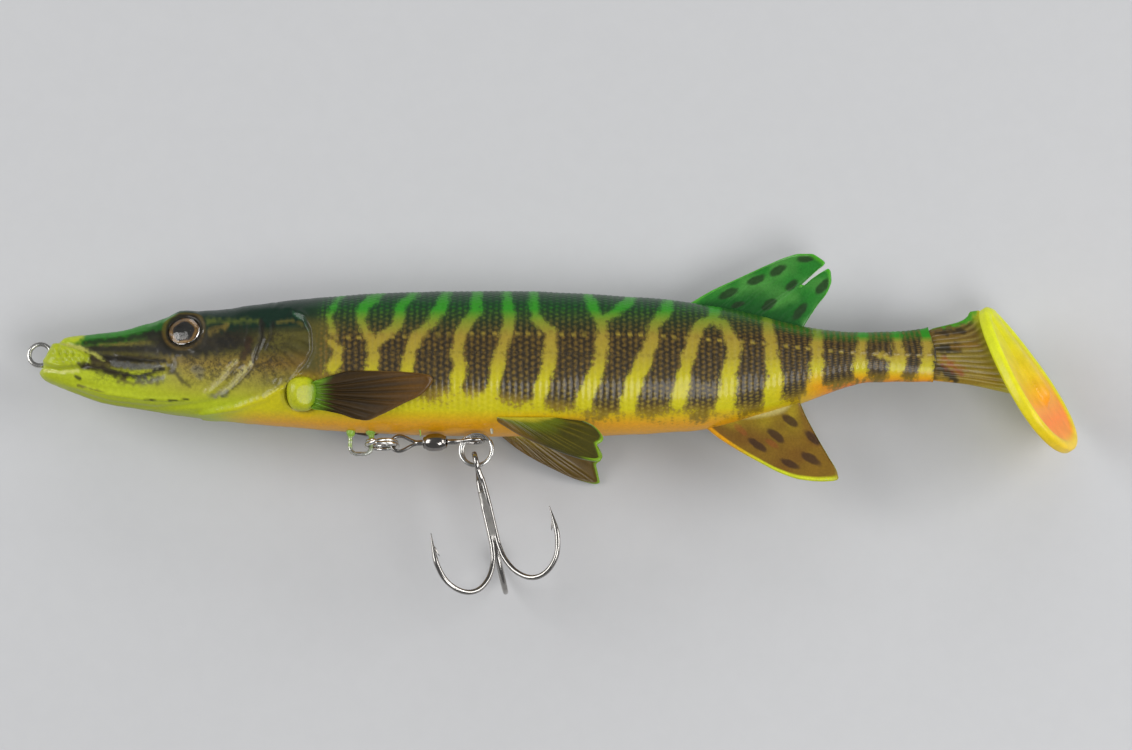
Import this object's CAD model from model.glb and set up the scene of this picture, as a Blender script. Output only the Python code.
"""Pike-shaped soft swimbait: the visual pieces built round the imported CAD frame."""
import math

import bmesh
import bpy
import numpy as np
from mathutils import Matrix, Vector


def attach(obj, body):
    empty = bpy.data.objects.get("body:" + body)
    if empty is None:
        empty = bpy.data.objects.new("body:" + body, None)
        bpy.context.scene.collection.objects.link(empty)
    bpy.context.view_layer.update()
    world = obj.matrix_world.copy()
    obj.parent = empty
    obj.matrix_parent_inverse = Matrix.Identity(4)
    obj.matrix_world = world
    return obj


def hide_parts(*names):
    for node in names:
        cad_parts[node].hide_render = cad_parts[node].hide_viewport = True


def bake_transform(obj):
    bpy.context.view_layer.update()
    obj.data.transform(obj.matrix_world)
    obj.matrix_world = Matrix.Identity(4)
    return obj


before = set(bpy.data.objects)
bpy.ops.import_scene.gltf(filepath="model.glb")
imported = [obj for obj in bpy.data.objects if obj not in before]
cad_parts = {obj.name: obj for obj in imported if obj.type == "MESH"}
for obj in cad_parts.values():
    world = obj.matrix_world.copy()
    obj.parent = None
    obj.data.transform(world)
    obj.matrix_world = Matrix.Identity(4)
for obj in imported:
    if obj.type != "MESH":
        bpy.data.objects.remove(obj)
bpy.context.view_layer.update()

MM = 0.001


# ---------- small helpers (all lengths in millimetres until a mesh is made) ----------

def smooth(a, b, x):
    t = np.clip((np.asarray(x, float) - a) / (b - a), 0.0, 1.0)
    return t * t * (3.0 - 2.0 * t)


def lerp(a, b, t):
    return a + (b - a) * t


def bell(x, centre, width):
    return np.exp(-((x - centre) / width) ** 2)


def move(by):
    return Matrix.Translation(by)


def spin(degrees, axis):
    return Matrix.Rotation(math.radians(degrees), 4, axis)


def srgb(r, g, b):
    c = np.array([r, g, b], float) / 255.0
    return np.where(c <= 0.04045, c / 12.92, ((c + 0.055) / 1.055) ** 2.4)


def curve(table, x):
    """A smooth curve with no overshoot through (x, value) rows."""
    px, py = np.array(table, float).T
    h, d = np.diff(px), np.diff(py) / np.diff(px)
    m = np.zeros(len(px))
    m[0], m[-1] = d[0], d[-1]
    w1, w2 = 2 * h[1:] + h[:-1], h[1:] + 2 * h[:-1]
    with np.errstate(divide="ignore", invalid="ignore"):
        inner = (w1 + w2) / (w1 / d[:-1] + w2 / d[1:])
    m[1:-1] = np.where(d[:-1] * d[1:] > 0, inner, 0.0)
    x = np.asarray(x, float)
    k = np.clip(np.searchsorted(px, x) - 1, 0, len(px) - 2)
    t = np.clip((x - px[k]) / h[k], 0.0, 1.0)
    return ((1 + 2 * t) * (1 - t) ** 2 * py[k] + t * (1 - t) ** 2 * h[k] * m[k]
            + t * t * (3 - 2 * t) * py[k + 1] + t * t * (t - 1) * h[k] * m[k + 1])


def blend_colours(rows, x):
    """Colours from (position, colour) rows, straight between rows."""
    pos = [r[0] for r in rows]
    return np.stack([np.interp(x, pos, [r[1][c] for r in rows]) for c in range(3)], axis=-1)


def tint(base, colour, amount):
    """Mixes a colour into a field of colours, by an amount given at each point."""
    return lerp(base, colour, np.asarray(amount)[..., None])


def to_line(x, v, pts):
    """Distance to a polyline, the share along it, and the side (positive on its left)."""
    best = np.full(np.shape(x), 1e9)
    along, side = np.zeros(np.shape(x)), np.ones(np.shape(x))
    sizes = [math.dist(a, b) for a, b in zip(pts, pts[1:])]
    run, total = 0.0, sum(sizes)
    for (ax, ay), (bx, by), size in zip(pts, pts[1:], sizes):
        dx, dy = bx - ax, by - ay
        t = np.clip(((x - ax) * dx + (v - ay) * dy) / (dx * dx + dy * dy), 0.0, 1.0)
        ex, ey = x - ax - t * dx, v - ay - t * dy
        d = np.hypot(ex, ey)
        near = d < best
        best = np.where(near, d, best)
        side = np.where(near, np.sign(dx * ey - dy * ex), side)
        along = np.where(near, (run + t * size) / total, along)
        run += size
    return best, along, side


def lattice(i, j, seed):
    """A fixed pseudo-random value, 0 to 1, at each whole-numbered point."""
    n = (i * 374761393 + j * 668265263 + seed * 974634777) & 0x7FFFFFFF
    n = ((n ^ (n >> 13)) * 1274126177) & 0x7FFFFFFF
    return ((n ^ (n >> 16)) & 0xFFFF) / 65535.0


def noise(x, y, seed):
    """Smooth value noise, 0 to 1, one feature per unit."""
    xi, yi = np.floor(x).astype(np.int64), np.floor(y).astype(np.int64)
    fx, fy = x - xi, y - yi
    fx, fy = fx * fx * (3 - 2 * fx), fy * fy * (3 - 2 * fy)
    a, b = lattice(xi, yi, seed), lattice(xi + 1, yi, seed)
    c, d = lattice(xi, yi + 1, seed), lattice(xi + 1, yi + 1, seed)
    return lerp(lerp(a, b, fx), lerp(c, d, fx), fy)


def wobble(x, y, seed):
    return noise(x, y, seed) - 0.5


def inside(x, v, pts):
    """Signed distance to a closed outline, positive inside."""
    ring = list(pts) + [pts[0]]
    d = to_line(x, v, ring)[0]
    hit = np.zeros(np.shape(x), bool)
    for (ax, ay), (bx, by) in zip(ring, ring[1:]):
        if ay != by:
            hit ^= ((ay > v) != (by > v)) & (x < (bx - ax) * (v - ay) / (by - ay) + ax)
    return np.where(hit, d, -d)


def strokes(paint, x, v, rows, pitch, seed):
    """Ragged soft strokes: points, half width, softness, colour and strength of each."""
    for pts, w, soft, colour, strength in rows:
        d = to_line(x, v, pts)[0] + wobble(x * pitch, v * pitch, seed) * soft
        paint = tint(paint, colour, strength * smooth(w + soft * 0.5, w - soft * 0.5, d))
    return paint


def angles(count):
    return np.linspace(0, 2 * math.pi, count, endpoint=False)


def make(name, verts, faces, mat, floats=None, colours=None, smooth_shade=True):
    """A mesh object in metres, with its values and colours given at each point."""
    mesh = bpy.data.meshes.new(name)
    mesh.from_pydata((np.asarray(verts, float) * MM).tolist(), [], [list(map(int, f)) for f in faces])
    mesh.validate()
    mesh.update()
    for key, values in (floats or {}).items():
        mesh.attributes.new(key, "FLOAT", "POINT").data.foreach_set(
            "value", np.asarray(values, np.float32).ravel())
    for key, values in (colours or {}).items():
        rgba = np.ones((len(verts), 4), np.float32)
        rgba[:, :3] = np.asarray(values, np.float32).reshape(-1, 3)
        mesh.attributes.new(key, "FLOAT_COLOR", "POINT").data.foreach_set("color", rgba.ravel())
    mesh.shade_smooth() if smooth_shade else mesh.shade_flat()
    mesh.materials.append(mat)
    obj = bpy.data.objects.new(name, mesh)
    bpy.context.scene.collection.objects.link(obj)
    return obj


def grid_faces(rows, cols, closed):
    """Quads over rows x cols points; closed joins the last column to the first."""
    i = np.arange(rows - 1)[:, None]
    j = np.arange(cols if closed else cols - 1)[None, :]
    k = (j + 1) % cols
    return np.stack([i * cols + j, i * cols + k, (i + 1) * cols + k, (i + 1) * cols + j],
                    axis=-1).reshape(-1, 4).tolist()


def sleeve_faces(rows, around):
    """A closed sleeve with a pole past each end; the two poles are the last two points."""
    first, last = rows * around, (rows - 1) * around
    faces = grid_faces(rows, around, True)
    faces += [[first, (j + 1) % around, j] for j in range(around)]
    faces += [[first + 1, last + j, last + (j + 1) % around] for j in range(around)]
    return faces


def tube(name, path, radii, mat, sides=20, flat=1.0):
    """A round bar swept along a path, its radius given at each point."""
    path = np.asarray(path, float)
    n = len(path)
    radii = np.broadcast_to(np.asarray(radii, float), (n,))
    tangent = np.gradient(path, axis=0)
    tangent /= np.linalg.norm(tangent, axis=1)[:, None]
    normal = np.zeros_like(path)
    seed = np.array([0.0, 0.0, 1.0]) if abs(tangent[0][2]) < 0.9 else np.array([1.0, 0.0, 0.0])
    first = seed - tangent[0] * (seed @ tangent[0])
    normal[0] = first / np.linalg.norm(first)
    for i in range(1, n):
        carried = normal[i - 1] - tangent[i] * (normal[i - 1] @ tangent[i])
        normal[i] = carried / np.linalg.norm(carried)
    other = np.cross(tangent, normal)
    a = angles(sides)[None, :]
    ring = (normal[:, None, :] * np.cos(a)[..., None]
            + other[:, None, :] * np.sin(a)[..., None] * flat)
    verts = (path[:, None, :] + ring * radii[:, None, None]).reshape(-1, 3)
    verts = np.vstack([verts, path[0] - tangent[0] * radii[0] * 0.45,
                       path[-1] + tangent[-1] * radii[-1] * 0.45])
    return make(name, verts, [f[::-1] for f in sleeve_faces(n, sides)], mat)


def place(obj, matrix):
    """Bakes a placement into the mesh, so every piece's own origin is the frame's."""
    m = matrix.copy()
    m.translation = m.translation * MM
    obj.data.transform(m)
    if matrix.determinant() < 0:
        obj.data.flip_normals()
    obj.data.update()


def edit(obj, change):
    """Runs one bmesh change on a piece."""
    bm = bmesh.new()
    bm.from_mesh(obj.data)
    change(bm)
    bm.to_mesh(obj.data)
    bm.free()


def outward(obj):
    """Turns every face of a closed piece outward."""
    edit(obj, lambda bm: bmesh.ops.recalc_face_normals(bm, faces=bm.faces))


def dress(node, mat):
    """Gives a CAD node its material."""
    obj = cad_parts[node]
    obj.data.materials.clear()
    obj.data.materials.append(mat)


def join(name, objs):
    """Several pieces of one material as one piece."""
    verts, faces = [], []
    for o in objs:
        base = len(verts)
        verts += [tuple(v.co) for v in o.data.vertices]
        faces += [[base + i for i in p.vertices] for p in o.data.polygons]
    mat = objs[0].data.materials[0]
    for o in objs:
        bpy.data.objects.remove(o)
    return make(name, np.array(verts) / MM, faces, mat)


# ---------- materials ----------

class Nodes:
    """Short names for building one node material."""

    def __init__(self, name):
        self.mat = bpy.data.materials.new(name)
        self.mat.use_nodes = True
        self.tree = self.mat.node_tree
        self.bsdf = self.tree.nodes["Principled BSDF"]

    def add(self, kind, **settings):
        n = self.tree.nodes.new(kind)
        for k, v in settings.items():
            setattr(n, k, v)
        return n

    def put(self, socket, value):
        if isinstance(value, bpy.types.NodeSocket):
            self.tree.links.new(value, socket)
        elif isinstance(value, (tuple, list, np.ndarray)):
            value = tuple(float(x) for x in value)
            socket.default_value = value + (1.0,) if socket.type == "RGBA" and len(value) == 3 else value
        else:
            socket.default_value = value

    def math(self, op, a, b=0.0):
        n = self.add("ShaderNodeMath", operation=op)
        for s, v in zip(n.inputs, (a, b)):
            self.put(s, v)
        return n.outputs[0]

    def attribute(self, name, out="Fac"):
        return self.add("ShaderNodeAttribute", attribute_name=name).outputs[out]

    def mix(self, factor, a, b, blend="MIX"):
        n = self.add("ShaderNodeMix", data_type="RGBA", blend_type=blend)
        self.put(n.inputs[0], factor)
        self.put(n.inputs[6], a)
        self.put(n.inputs[7], b)
        return n.outputs[2]

    def ramp(self, value, low, high, out_low=0.0, out_high=1.0):
        n = self.add("ShaderNodeMapRange", interpolation_type="SMOOTHSTEP")
        for s, v in zip(n.inputs, (value, low, high, out_low, out_high)):
            self.put(s, v)
        return n.outputs[0]

    def mul(self, a, b):
        return self.math("MULTIPLY", a, b)

    def sum(self, a, b):
        return self.math("ADD", a, b)

    def centred(self, value, gain):
        """A 0 to 1 value moved to lie about zero, then scaled."""
        return self.mul(self.math("SUBTRACT", value, 0.5), gain)

    def where(self):
        return self.add("ShaderNodeTexCoord").outputs["Object"]

    def noise(self, scale, detail=3.0, rough=0.55):
        n = self.add("ShaderNodeTexNoise")
        self.put(n.inputs["Vector"], self.where())
        self.put(n.inputs["Scale"], scale)
        self.put(n.inputs["Detail"], detail)
        self.put(n.inputs["Roughness"], rough)
        return n.outputs[0]

    def grain(self, base, value, low, high):
        """Multiplies a colour by a grey that follows a noise."""
        return self.mix(1.0, base, self.mix(self.ramp(value, 0.3, 0.7), low, high), "MULTIPLY")

    def rough(self, value, low, high):
        return self.ramp(value, 0.2, 0.8, low, high)

    def bump(self, height, distance, strength):
        n = self.add("ShaderNodeBump")
        self.put(n.inputs["Strength"], strength)
        self.put(n.inputs["Distance"], distance)
        self.put(n.inputs["Height"], height)
        self.put(self.bsdf.inputs["Normal"], n.outputs[0])

    def set(self, **values):
        for k, v in values.items():
            self.put(self.bsdf.inputs[k.replace("_", " ")], v)
        return self.mat


def metal(name, colour, rough, streaks):
    """Bare or plated metal, with fine streaks and faint darker patches."""
    n = Nodes(name)
    fine = n.noise(9000, 4, 0.6)
    patch = n.noise(900, 3, 0.5)
    tone = n.ramp(patch, 0.3, 0.75, 0.82, 1.06)
    shade = n.add("ShaderNodeVectorMath", operation="SCALE")
    n.put(shade.inputs[0], colour)
    n.put(shade.inputs["Scale"], tone)
    n.bump(n.sum(fine, n.mul(patch, 0.6)), 0.00002 * streaks, 0.5)
    return n.set(Base_Color=shade.outputs[0], Metallic=1.0,
                 Roughness=n.rough(fine, rough * 0.7, rough * 1.4))


def rubber(name, rough, bumpy, coat, mottle=0.12):
    """Painted soft plastic: its colour is worked out point by point, broken up by noise."""
    n = Nodes(name)
    base = n.attribute("paint", "Color")
    speck = n.noise(2600, 4, 0.65)
    cloud = n.noise(380, 3, 0.5)
    base = n.grain(base, speck, (1 - mottle,) * 3, (1 + mottle,) * 3)
    base = n.grain(base, cloud, (0.93, 0.93, 0.9), (1.05, 1.05, 1.02))
    n.bump(n.sum(n.mul(speck, 0.5), cloud), bumpy, 0.6)
    return n.set(Base_Color=base, Roughness=n.rough(speck, rough * 0.85, rough * 1.2),
                 Coat_Weight=coat, Coat_Roughness=0.1, Specular_IOR_Level=0.3, Subsurface_Weight=0.05,
                 Subsurface_Scale=0.001, Subsurface_Radius=(1.0, 0.7, 0.3))


def skin_material():
    """Airbrushed flank: dark patches with a net of scales, pale bars between, glossy coat."""
    n = Nodes("soft_skin")
    u, w = n.attribute("scale_u"), n.attribute("scale_w")
    speck = n.noise(1500, 4, 0.7)
    coarse = n.noise(420, 3, 0.6)
    stray = n.sum(u, n.centred(coarse, 0.5))
    columns = n.math("COSINE", n.mul(stray, 2 * math.pi))
    beads = n.mul(n.math("COSINE", n.mul(stray, math.pi)), n.math("COSINE", n.mul(w, 2 * math.pi)))
    wave = n.sum(n.mul(columns, 0.55), n.mul(beads, 0.6))
    net = n.mul(n.ramp(n.sum(wave, n.centred(speck, 3.8)), -0.8, 1.6), n.attribute("net_amount"))
    ragged = n.sum(n.centred(speck, 2.3), n.mul(wave, 0.16))
    pale_mask = n.ramp(n.sum(n.attribute("stripe"), ragged), 0.5, -0.5)
    dark = n.mix(net, n.attribute("dark_tone", "Color"), n.attribute("net_tone", "Color"))
    flank = n.mix(pale_mask, dark, n.attribute("pale_tone", "Color"))
    blotch = n.mul(n.ramp(n.sum(speck, n.mul(coarse, 0.6)), 0.92, 0.62), n.attribute("mottle"))
    head = n.mix(blotch, n.attribute("head_paint", "Color"), (0.024, 0.019, 0.009))
    base = n.grain(n.mix(n.attribute("head_amount"), flank, head), speck, (0.9, 0.9, 0.88), (1.07, 1.07, 1.05))
    n.bump(n.sum(n.mul(wave, n.mul(n.attribute("scaly"), 0.55)), n.mul(speck, 0.35)), 0.00007, 0.7)
    return n.set(Base_Color=base, Roughness=n.rough(speck, 0.4, 0.55), Coat_Weight=0.3,
                 Coat_Roughness=0.1, Specular_IOR_Level=0.25, Subsurface_Weight=0.04, Subsurface_Scale=0.001,
                 Subsurface_Radius=(1.0, 0.7, 0.3))


def plain(name, colour, rough, **extra):
    """One colour with a fine grain."""
    n = Nodes(name)
    speck = n.noise(3000, 3, 0.6)
    base = n.mix(n.ramp(speck, 0.3, 0.7), np.array(colour) * 0.86, np.array(colour) * 1.1)
    n.bump(speck, 0.00001, 0.5)
    return n.set(Base_Color=base, Roughness=n.rough(speck, rough * 0.85, rough * 1.15), **extra)


NIGHT, PINE, GRASS, SPRING = srgb(9, 36, 24), srgb(16, 58, 30), srgb(42, 124, 24), srgb(66, 150, 26)
LIME, LEMON, AMBER, FLAME = srgb(168, 180, 28), srgb(198, 188, 18), srgb(220, 156, 10), srgb(228, 104, 8)
GOLD, TAN, UMBER, SOOT = srgb(128, 108, 44), srgb(152, 132, 46), srgb(44, 36, 22), srgb(22, 20, 14)
OLIVE, BRONZE, SILVER = srgb(92, 86, 34), srgb(112, 88, 32), srgb(120, 120, 118)

MAT_SKIN = skin_material()
MAT_FIN = rubber("soft_fin", 0.42, 0.00003, 0.22)
MAT_PADDLE = rubber("soft_paddle", 0.42, 0.00002, 0.15, mottle=0.05)
MAT_STEEL = metal("bright_steel", (0.62, 0.61, 0.58), 0.2, 1.0)
MAT_NICKEL = metal("black_nickel", (0.36, 0.345, 0.325), 0.16, 1.0)
MAT_BARREL = metal("polished_gunmetal", (0.3, 0.28, 0.26), 0.12, 0.5)
MAT_BRAZE = metal("braze", (0.4, 0.385, 0.36), 0.38, 3.0)
MAT_FLASH = plain("moulding_flash", srgb(136, 176, 60), 0.4, Coat_Weight=0.2)
MAT_NIB = plain("pale_nib", srgb(190, 190, 170), 0.4)
MAT_BALLAST = plain("cast_ballast", (0.16, 0.16, 0.17), 0.6, Metallic=0.7)


# ---------- the body ----------

MIRROR = {"left": Matrix(), "right": Matrix.Diagonal((1, 1, -1, 1))}
KNOB_AT = move((51.5, -9.1, 6.7))
EYE_AT = move((28.3, 3.6, 5.0)) @ spin(-20, "X") @ spin(-8, "Y") @ move((0, 0, -1.2))
TOP = [(0.12, -3.3), (0.5, -2.9), (1.4, -2.3), (2.2, -1.3), (3.2, 0.7), (4.1, 2.4), (4.9, 3.15), (6.5, 3.5),
       (10, 3.85), (15.4, 4.5), (20, 5.75), (24.3, 7.35), (27.2, 8.65), (29.5, 8.55), (33, 8.6), (41.6, 9.7),
       (51, 10.9), (66, 12.0), (82, 12.45), (94, 12.45), (100, 12.2), (110, 11.65), (120, 10.95), (128, 9.9),
       (133.5, 9.0), (140, 7.5), (148.4, 5.5), (157, 4.5), (166, 4.7), (172, 5.3), (175, 5.8)]
BOTTOM = [(0.12, -3.9), (0.5, -4.5), (1.2, -5.1), (2.5, -5.7), (7.9, -7.9), (12.6, -9.5), (19.6, -10.7),
          (33.2, -12.65), (39.3, -13.3), (50, -14.2), (59, -15.0), (74, -15.7), (89, -15.95), (109, -15.8),
          (120, -15.3), (128.7, -14.6), (140, -11.7), (147, -9.6), (157, -6.1), (160.4, -5.4), (166, -5.3),
          (173, -5.3), (175, -5.5)]
WIDTH = [(0.12, 0.5), (0.5, 1.3), (1.4, 2.4), (3.2, 3.5), (6, 4.15), (10, 4.35), (15, 4.55), (20, 5.0), (25, 5.9),
         (29, 6.75), (34, 7.6), (40, 8.4), (50, 9.4), (57, 9.85), (66, 10.2), (85, 10.7), (100, 10.5), (115, 9.85),
         (128, 8.7), (140, 6.8), (150, 5.1), (160, 3.6), (168, 2.6), (172, 2.2), (175, 2.0)]
SQUARE = [(0.1, 2.2), (6, 2.7), (20, 2.6), (32, 2.35), (60, 2.12), (130, 2.05), (175, 2.0)]

# Lines of the head in side view: distance from the line eye, then height as seen from the left
LIP = [(4.7, 2.5), (7.9, 1.4), (11.2, 0.2), (14.9, -1.9), (18.7, -3.0), (22.4, -3.2), (24.8, -2.4)]
JAW_LIP = [(0.9, -3.1), (2.1, -2.6), (4.65, -3.1), (7.9, -2.8), (9.6, -2.3)]
BITE = [(-1, 1.2), (4.2, 2.0), (7.9, 0.9), (9.9, -0.4), (9.6, -1.6), (7.9, -2.3), (4.65, -2.6), (2.1, -2.1), (-1, -2.6)]
MAXILLA = [(10.6, 0.1), (14.9, -0.5), (20.5, -1.2), (23.7, -1.4), (25.1, -2.3), (22.4, -3.0), (18.7, -3.0),
           (14.9, -2.0)]
SLIT = [(9.4, -2.2), (14.5, -3.0), (18.2, -4.1), (20.9, -4.0), (24.9, -2.7)]
GILL = [(49.4, 8.4), (51.6, 7.2), (53.0, 4.7), (53.3, 0.9), (52.2, -1.4), (48.9, -5.2), (44.2, -8.0),
        (38.4, -9.9), (32, -10.9)]
EYE = (28.3, 4.95)
KNOB = (51.6, -7.45)
FAN = (42.5, 5.0)  # where the ribs of the gill plate meet
EYE_SLOT_R = 2.95  # room in the nose for the line eye
DASH_PITCH = 2.15  # of the lateral line
SEEN_Y, SEEN_Z = 0.974, 0.225  # shares of height and half width in the height as seen

# Raised folds (positive) and grooves (negative) of the head: points, half width, height
FOLDS = [
    (LIP[:4], 0.34, 0.34), (JAW_LIP, 0.3, 0.28), (SLIT, 0.3, -0.62),
    ([(14.9, 0.1), (20.5, -0.9), (24.4, -1.4)], 0.25, -0.28), ([(13, -4.7), (20, -5.2), (25.3, -3.8)], 0.6, 0.28),
    ([(25.4, -2.6), (26.4, -1.9), (26.2, -1.2)], 0.45, 0.3),
    ([(7.9, -6.1), (14, -7.5), (20.6, -8.4), (29.5, -8.6)], 0.3, -0.3),
    ([(4.9, -6.3), (13.5, -9.3), (22.9, -10.3), (33.2, -9.4), (37.4, -8.2)], 0.5, 0.3),
    ([(6, -5.0), (12, -6.3), (20, -7.0)], 0.5, 0.16), ([(38.8, -0.9), (35.7, -4.2), (32.5, -7.2)], 0.42, 0.38),
    ([(41.6, -1.6), (38.2, -5.0), (34.4, -8.2)], 0.5, 0.42), ([(39.8, -1.5), (37, -4.6), (33.7, -7.6)], 0.3, -0.35),
    ([(42.8, -1.6), (39.4, -5.4), (36, -8.4)], 0.3, -0.3), ([(43.4, 6.6), (43.7, 3.2), (42.2, -1.2)], 0.4, -0.42),
    ([(44.7, 6.6), (44.9, 3.6), (43.6, 0.6)], 0.3, 0.26), ([(45.6, 6.4), (45.7, 4.4), (44.8, 2.0)], 0.25, -0.2),
    ([(41.0, 6.2), (41.0, 4.0), (40.4, 2.6)], 0.3, -0.22), ([(20.6, 5.6), (24.8, 7.5), (27.4, 8.5)], 0.5, 0.22),
    ([(9, 2.9), (15, 3.2), (22, 4.7)], 0.35, -0.12), ([(12, 1.5), (17, 1.6), (23.4, 2.2)], 0.35, -0.16),
    ([(33, 6.2), (38, 6.0), (41, 6.6)], 0.5, 0.12), ([(46.4, -4.5), (44.3, -6.3), (40.6, -7.9)], 0.3, -0.2),
    ([(49.8, -3.6), (46.4, -6.6), (41, -9.0)], 0.28, -0.2), ([(48.6, -2.4), (46.6, -5.0), (42.6, -7.2)], 0.25, 0.16),
    ([(30, 1.2), (33, -0.6), (37.5, 0.4)], 0.5, -0.1), ([(29.5, -6.0), (33, -3.6), (36, -1.2)], 0.4, 0.12),
]

# Pale bars of the flank: points, then half width at the first and last point
BARS = [
    ([(59.5, 13), (58.1, 11.1), (56.4, 7.55), (57.2, 4.1)], 0.6, 0.7),
    ([(56.7, 2.6), (58.6, 0.65), (57.4, -2.4)], 0.6, 1.5),
    ([(66.3, 13), (65.3, 11.6), (62.8, 9.3), (62.6, 6.6), (63.8, 4.1), (65, 2.4)], 1.2, 1.2),
    ([(74, 13), (72.4, 11.7), (70.2, 9.3), (69.5, 5.8), (66.8, 3.1), (65, 1.8)], 1.0, 1.3),
    ([(65, 2.4), (65, -3.6)], 1.4, 1.7),
    ([(79, 13), (78.6, 11.7), (77.9, 9), (76.1, 6.1), (73.2, 3.1), (72, -0.3), (71, -6)], 1.15, 1.5),
    ([(84.8, 13), (84.5, 8.3), (82.1, 4.6), (81.1, 1.6), (81.6, -2.3), (80.9, -6.5)], 1.2, 1.6),
    ([(90.3, 13), (91, 6.8), (90, 2), (88.7, -2.8), (87.4, -9)], 1.15, 1.7),
    ([(95.4, 13), (96.1, 7.1), (98.9, 4.25), (98.9, 0.4), (98, -3.4), (96.6, -9)], 1.1, 1.7),
    ([(105.6, 13), (106.3, 11), (107, 8.4), (108.6, 6.8)], 1.2, 1.3),
    ([(115, 12), (113.7, 10.3), (111.1, 8.1), (108.6, 6.8)], 1.1, 1.2),
    ([(108.7, 6.9), (108.6, 1), (107.9, -2.8), (105, -9)], 1.15, 2.0),
    ([(122.3, 12), (121.7, 10), (120.7, 7.8), (118.5, 5.5), (118.3, 2.6), (116.4, -1.5), (114.8, -5.4),
      (113.6, -10)], 1.15, 2.2),
    ([(130.8, 10.5), (130.1, 7.6)], 1.5, 1.5),
    ([(130, 7.2), (126.9, 5.4), (125.8, 1.5), (124.7, -2.2), (123.2, -9)], 1.0, 2.1),
    ([(130, 7.2), (132.5, 5.5), (134.1, 1.5), (133.2, -2.5), (132.2, -10)], 1.0, 2.2),
    ([(140.4, 9), (140.8, 5.5), (141.1, 2.5), (141.7, -1.8), (141.4, -10)], 1.05, 2.3),
    ([(150.6, 6), (150.4, 4.5), (150.1, 1.5), (150.0, -1.8), (149.4, -8)], 1.2, 1.9),
    ([(159.3, 5.5), (158.9, 1.5), (158.4, -3.5)], 1.0, 1.7), ([(165.6, 5.5), (166.2, 0), (165.2, -4)], 0.8, 1.9),
    ([(171.3, 5.5), (171.6, 0), (171.2, -4)], 1.0, 1.8), ([(161.5, 0.2), (164, -0.6)], 0.5, 0.6),
]
DARK_FLOOR = [(53, -3.5), (60, -4.2), (66, -6.2), (75, -6.9), (84, -7.1), (92, -8.4), (100, -9.3), (108, -11.0),
              (118, -10.6), (128, -10.9), (137, -10.2), (145, -8.2), (153, -5.7), (163, -4.3), (176, -4.0)]
SIDE_LINE = [(54, 3.6), (66, 3.7), (76, 4.1), (97, 4.2), (112, 4.2), (126, 3.3), (135, 2.9), (142, 2.2), (151, 1.2),
             (161, 0.4), (173, 0.1)]

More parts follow.
